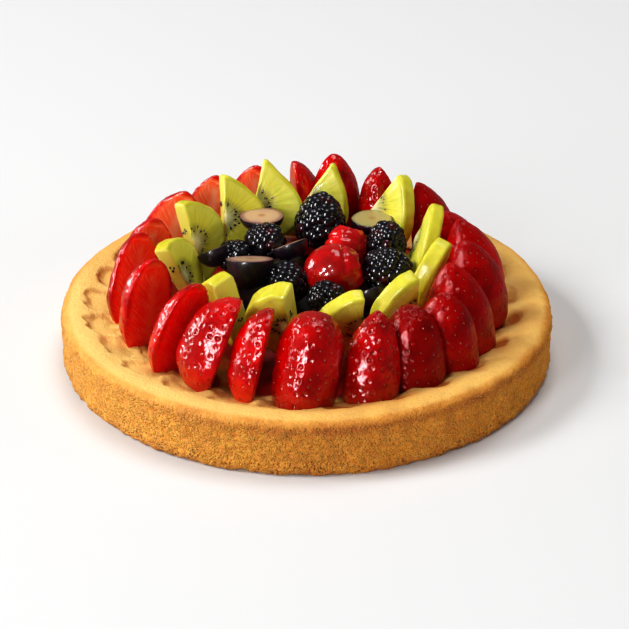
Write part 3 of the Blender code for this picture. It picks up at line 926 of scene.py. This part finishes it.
def make_kiwi(number, row, seeds):
    angle, radius, height, turn, lean, roll, size, thick, arc = row
    rng = np.random.default_rng(300 + number)
    reach = KIWI_RADIUS * size
    thickness = KIWI_THICKNESS * thick
    outline, on_arc = kiwi_outline(reach, arc)
    count = len(outline)
    middle = np.array([0.34 * reach, 0.0])
    soft = 1.7
    shrink = 1 - soft / (0.5 * reach)
    # Loops from the middle of one flat face, over the edge, to the middle of the other.
    loops = [(k, 0.5 * thickness, 0.0) for k in np.linspace(0.04, shrink, 18)]
    for bend in np.radians((22, 45, 67, 90)):
        loops.append(
            (shrink + (1 - shrink) * math.sin(bend), 0.5 * thickness - soft * (1 - math.cos(bend)), 1.0)
        )
    loops += [(1.0, share * (0.5 * thickness - soft), 1.0) for share in (0.6, 0.2, -0.2, -0.6)]
    loops += [(k, -y, edge) for k, y, edge in reversed(loops[:22])]
    points, peel = [], []
    for k, y, edge in loops:
        flat = middle + (outline - middle) * k
        points.append(np.stack([flat[:, 0], np.full(count, y), flat[:, 1]], axis=1))
        peel.append(on_arc * edge)
    points = np.array(points).reshape(-1, 3)
    peel = np.array(peel).reshape(-1)
    bearing = np.arctan2(points[:, 2], points[:, 0] + 0.01)
    edge_bearing = np.arctan2(outline[:, 1], np.maximum(outline[:, 0], 0.0) + 0.01)
    order = np.argsort(edge_bearing)
    limit = np.interp(bearing, edge_bearing[order], np.hypot(*outline.T)[order])
    share = np.clip(np.hypot(points[:, 0], points[:, 2]) / limit, 0, 1.05)
    side = np.sign(points[:, 1]) * (np.abs(points[:, 1]) > 0.5 * thickness - 0.3)
    relief = 0.3 * np.exp(-((share / 0.15) ** 2)) - 0.35 * np.exp(-(((share - 0.33) / 0.13) ** 2))
    relief = relief + 0.22 * lumps(points, 6, number) + 0.12 * lumps(points, 2.2, number + 9)
    relief = relief + 0.035 * np.sin(bearing * 30 + 2 * lumps(points, 7, 5)) * smoothstep(0.3, 0.5, share)
    points[:, 1] += side * relief
    swell = 0.55 * lumps(points, 9, number + 40) + 0.25 * lumps(points, 4, number + 60)
    away = np.stack([points[:, 0] - middle[0], np.zeros(len(points)), points[:, 2]], axis=1)
    away /= np.maximum(np.linalg.norm(away, axis=1), 1e-6)[:, None]
    points = points + away * (swell * smoothstep(0.75, 1.0, share))[:, None]
    matrix = turned(polar(radius, angle, height), (-lean, roll, angle - 90 - turn), "YXZ")
    faces = [tuple(face) for face in grid_faces(len(loops), count)]
    faces.append(tuple(reversed(range(count))))
    faces.append(tuple((len(loops) - 1) * count + i for i in range(count)))
    body = Body().join(points, faces, reach=share, bearing=bearing, peel=peel, number=number * 7.3)
    name = f"kiwi_{number:02d}"
    add_piece(name, body, KIWI_PAINT, [name], matrix)

    # Black seeds in loose clusters round the core, on both faces and on the cut edge.
    for y_side in (1, -1):
        for k in range(15):
            bend = math.pi * ((k + rng.uniform(0.1, 0.9)) / 15 - 0.5)
            if rng.random() < 0.25:
                continue
            r = reach * rng.uniform(0.24, 0.42)
            along = np.array([math.cos(bend), 0, math.sin(bend)])
            spot = along * r + np.array([0.3, y_side * (0.5 * thickness - 0.45), 0])
            along = along + np.array([0, 0, rng.normal(0, 0.35)])
            add_seed(seeds, matrix, spot, np.array([0, y_side, 0.0]), along, rng.uniform(1.8, 2.5))
    for z_side in (1, -1):
        for k in range(3):
            spot = np.array(
                [0.1, rng.uniform(-0.32, 0.32) * thickness, z_side * reach * rng.uniform(0.24, 0.4)]
            )
            along = np.array([0, rng.normal(0, 0.5), 1.0])
            add_seed(seeds, matrix, spot, np.array([-1.0, 0, 0]), along, rng.uniform(1.8, 2.4))


# ---------------------------------------------------------------- berries and grapes


def ball(level):
    """Points and faces of a sphere of radius 1, from an icosahedron split so many times."""
    import bmesh

    made = bmesh.new()
    bmesh.ops.create_icosphere(made, subdivisions=level, radius=1.0)
    points = np.array([tuple(v.co) for v in made.verts])
    faces = [tuple(v.index for v in face.verts) for face in made.faces]
    made.free()
    return points, faces


def spread_points(count):
    """Evenly spread directions, from the bottom of the axis to its top."""
    i = np.arange(count) + 0.5
    z = 1 - 2 * i / count
    turn = math.pi * (1 + 5**0.5) * i
    flat = np.sqrt(1 - z * z)
    return np.stack([flat * np.cos(turn), flat * np.sin(turn), z], axis=1)


def make_bramble(number, row):
    x, y, z, direction, lift, width = row
    rng = np.random.default_rng(500 + number)
    drupe = 2.25 + 0.042 * width
    half, long = 0.5 * width, 0.5 * width * BERRY_LONG
    points, faces = ball(3)
    body = Body()
    core = (half - drupe, half - drupe, long - drupe)
    body.join(points * core, faces, tint=0.3)
    for spot in spread_points(int(4 * math.pi * half**2 * 1.10 / (0.80 * (1.62 * drupe) ** 2))):
        spot = spot + rng.normal(0, 0.22 * drupe / half, 3)
        spot = spot / np.linalg.norm(spot)
        size = drupe * rng.uniform(0.82, 1.18)
        taper = 1.0 - (0.26 if lift > 45 else 0.16) * spot[2]
        inner = np.array([half - size, half - size, long - size]) * (taper, taper, 1)
        centre = spot * inner + rng.normal(0, 0.22, 3)
        shape = points * (1 + 0.05 * lumps(points + spot * 9, 0.9, number))[:, None]
        body.join(shape * size + centre, faces, tint=rng.random())
    name = f"bramble_{number:02d}"
    matrix = turned((x, y, z), (0, 90 - lift, direction), "XYZ")
    return add_piece(name, body, BRAMBLE_PAINT, [name], matrix)


def make_red_berry(number, row):
    """A berry whose small drupelets lie under thick glaze, with a pleated rim at one end."""
    x, y, z, direction, lift, width = row
    rng = np.random.default_rng(700 + number)
    points, faces = ball(6)
    near = np.full(len(points), 9.0)
    for spot in spread_points(90):
        gap = np.linalg.norm(points - (spot + rng.normal(0, 0.04, 3)), axis=1)
        near = np.minimum(near, gap)
    bumps = 1 - smoothstep(0.05, 0.24, near)
    turn = np.arctan2(points[:, 1], points[:, 0])
    pleats = np.cos(9 * turn + 3 * lumps(points, 0.8, 2)) * smoothstep(0.45, 0.8, points[:, 2])
    size = 1 + 0.018 * bumps + 0.012 * pleats + 0.045 * lumps(points, 0.9, number + 3)
    fold = 0.10 * np.exp(-(((points[:, 2] - 0.25 + 0.2 * np.sin(turn + 1)) / 0.09) ** 2))
    size = size - fold * (0.5 + 0.5 * np.cos(turn - 2.2))
    grown = points * size[:, None] * 0.97 * (0.5 * width, 0.5 * width, 0.5 * width * BERRY_LONG)
    grown[:, 2] -= smoothstep(0.86, 0.99, points[:, 2]) * 0.14 * width
    name = f"red_berry_{number:02d}"
    matrix = turned((x, y, z), (0, 90 - lift, direction), "XYZ")
    return add_piece(name, Body().join(grown, faces), RED_PAINTS[number - 1], [name], matrix)


def make_grape(number, row):
    x, y, z, direction, slope, width, depth = row
    columns = 56
    turn = np.arange(columns) * 2 * math.pi / columns
    loops = []
    for level in np.sin(np.linspace(math.pi / 2 * 0.98, 0, 16)):
        loops.append((math.sqrt(1 - level**2), -depth * level, 0.0, 1.0))
    loops.append((0.995, 0.25, 0.0, 1.0))
    for k in np.linspace(0.955, 0.04, 12):
        loops.append((k, 0.30 + 0.25 * (1 - k * k), 1.0, k))
    points, cut, reach, bearing = [], [], [], []
    for size, level, is_cut, k in loops:
        points.append(
            np.stack(
                [
                    0.5 * width * size * np.cos(turn),
                    0.5 * GRAPE_NARROW * width * size * np.sin(turn),
                    np.full(columns, level),
                ],
                axis=1,
            )
        )
        cut.append(np.full(columns, is_cut))
        reach.append(np.full(columns, k))
        bearing.append(turn)
    points = np.array(points).reshape(-1, 3)
    swell = 0.25 * lumps(points, 6, number + 80)
    points = points + points / np.maximum(np.linalg.norm(points, axis=1), 1)[:, None] * swell[:, None]
    faces = [tuple(face) for face in grid_faces(len(loops), columns)]
    faces.append(tuple(reversed(range(columns))))
    last = (len(loops) - 1) * columns
    faces.append(tuple(last + i for i in range(columns)))
    body = Body().join(
        points,
        faces,
        cut=np.array(cut).reshape(-1),
        reach=np.array(reach).reshape(-1),
        bearing=np.array(bearing).reshape(-1),
        green=1.0 if number in (3, 6) else 0.0,
    )
    name = f"grape_{number:02d}"
    matrix = turned((x, y, z), (0, slope, direction), "XYZ")
    return add_piece(name, body, GRAPE_PAINT, [name], matrix)


# ---------------------------------------------------------------- the tart


KIWI_PAINT = kiwi_material()
BRAMBLE_PAINT = bramble_material()
RED_PAINTS = (red_berry_material("red_berry_light", 1.1), red_berry_material("red_berry_deep", 0.78))
GRAPE_PAINT = grape_material()

make_crust()
make_custard()
achenes = Body()
for index, line in enumerate(STRAWBERRIES, 1):
    make_strawberry(index, line, achenes)
seed_paint = plain_material("strawberry_seed", (0.22, 0.012, 0.006), (0.50, 0.09, 0.02), 300, 0.3, 0.6)
add_piece("strawberry_seeds", achenes, seed_paint.material)
black_seeds = Body()
for index, line in enumerate(KIWIS, 1):
    make_kiwi(index, line, black_seeds)
black_paint = plain_material("kiwi_seed", (0.006, 0.005, 0.004), (0.02, 0.014, 0.01), 300, 0.25, 0.8)
add_piece("kiwi_seeds", black_seeds, black_paint.material)
for index, line in enumerate(BRAMBLES, 1):
    make_bramble(index, line)
for index, line in enumerate(RED_BERRIES, 1):
    make_red_berry(index, line)
for index, line in enumerate(GRAPES, 1):
    make_grape(index, line)


# ---------------------------------------------------------------- studio


def make_floor():
    bpy.ops.mesh.primitive_plane_add(size=8.0, location=(0, 0, 0))
    floor = bpy.context.object
    floor.name = "floor"
    paint = Paint("floor_white")
    paint.set(Base_Color=(0.745, 0.745, 0.745), Roughness=0.7, Specular_IOR_Level=0.2)
    floor.data.materials.append(paint.material)
    floor.visible_glossy = False


def add_softbox(name, azimuth, elevation, distance, size, power, lights="all"):
    """A rectangular light at a compass direction and height. It can light only gloss or only the rest."""
    light = bpy.data.lights.new(name, "AREA")
    light.shape = "RECTANGLE"
    light.size, light.size_y = size
    light.energy = power
    lamp = bpy.data.objects.new(name, light)
    lamp.visible_diffuse = lights != "gloss"
    lamp.visible_glossy = lights != "matt"
    turn, rise = math.radians(azimuth), math.radians(elevation)
    spot = Vector((math.cos(turn) * math.cos(rise), math.sin(turn) * math.cos(rise), math.sin(rise)))
    lamp.location = Vector((0, 0, 0.03)) + spot * distance
    lamp.rotation_euler = spot.to_track_quat("Z", "Y").to_euler()
    bpy.context.scene.collection.objects.link(lamp)


def make_studio():
    make_floor()
    add_softbox("key_light", 187, 41, 2.6, (1.0, 0.8), 44, "matt")
    add_softbox("front_light", 236, 24, 2.2, (0.5, 0.9), 15, "matt")
    add_softbox("front_glint", 238, 22, 2.2, (0.55, 1.6), 90, "gloss")
    add_softbox("right_fill", 350, 12, 2.4, (1.2, 0.5), 9, "matt")
    add_softbox("rim_glint", 163, 14, 2.2, (0.9, 1.1), 46, "gloss")
    add_softbox("top_light", 68, 73, 2.4, (1.2, 1.2), 23.5)
    world = bpy.data.worlds.new("studio")
    world.use_nodes = True
    world.node_tree.nodes["Background"].inputs["Color"].default_value = (1, 1, 1, 1)
    world.node_tree.nodes["Background"].inputs["Strength"].default_value = 0.13
    scene = bpy.context.scene
    scene.world = world
    scene.view_settings.view_transform = "Standard"
    scene.view_settings.look = "Medium High Contrast"


def make_camera():
    """The photograph's view: 1.1 m away along +Y, 28.33 degrees above the horizon."""
    camera = bpy.data.cameras.new("camera")
    camera.sensor_width = 36.0
    camera.lens = 127.6
    camera.shift_x = 0.0126
    camera.shift_y = -0.0043
    camera.clip_end = 50
    rise = math.radians(28.33)
    eye = bpy.data.objects.new("camera", camera)
    back = Vector((0, -math.cos(rise), math.sin(rise)))
    eye.location = Vector((0, 0, 0.020)) + back * 1.1
    eye.rotation_euler = back.to_track_quat("Z", "Y").to_euler()
    bpy.context.scene.collection.objects.link(eye)
    bpy.context.scene.camera = eye


make_studio()
make_camera()
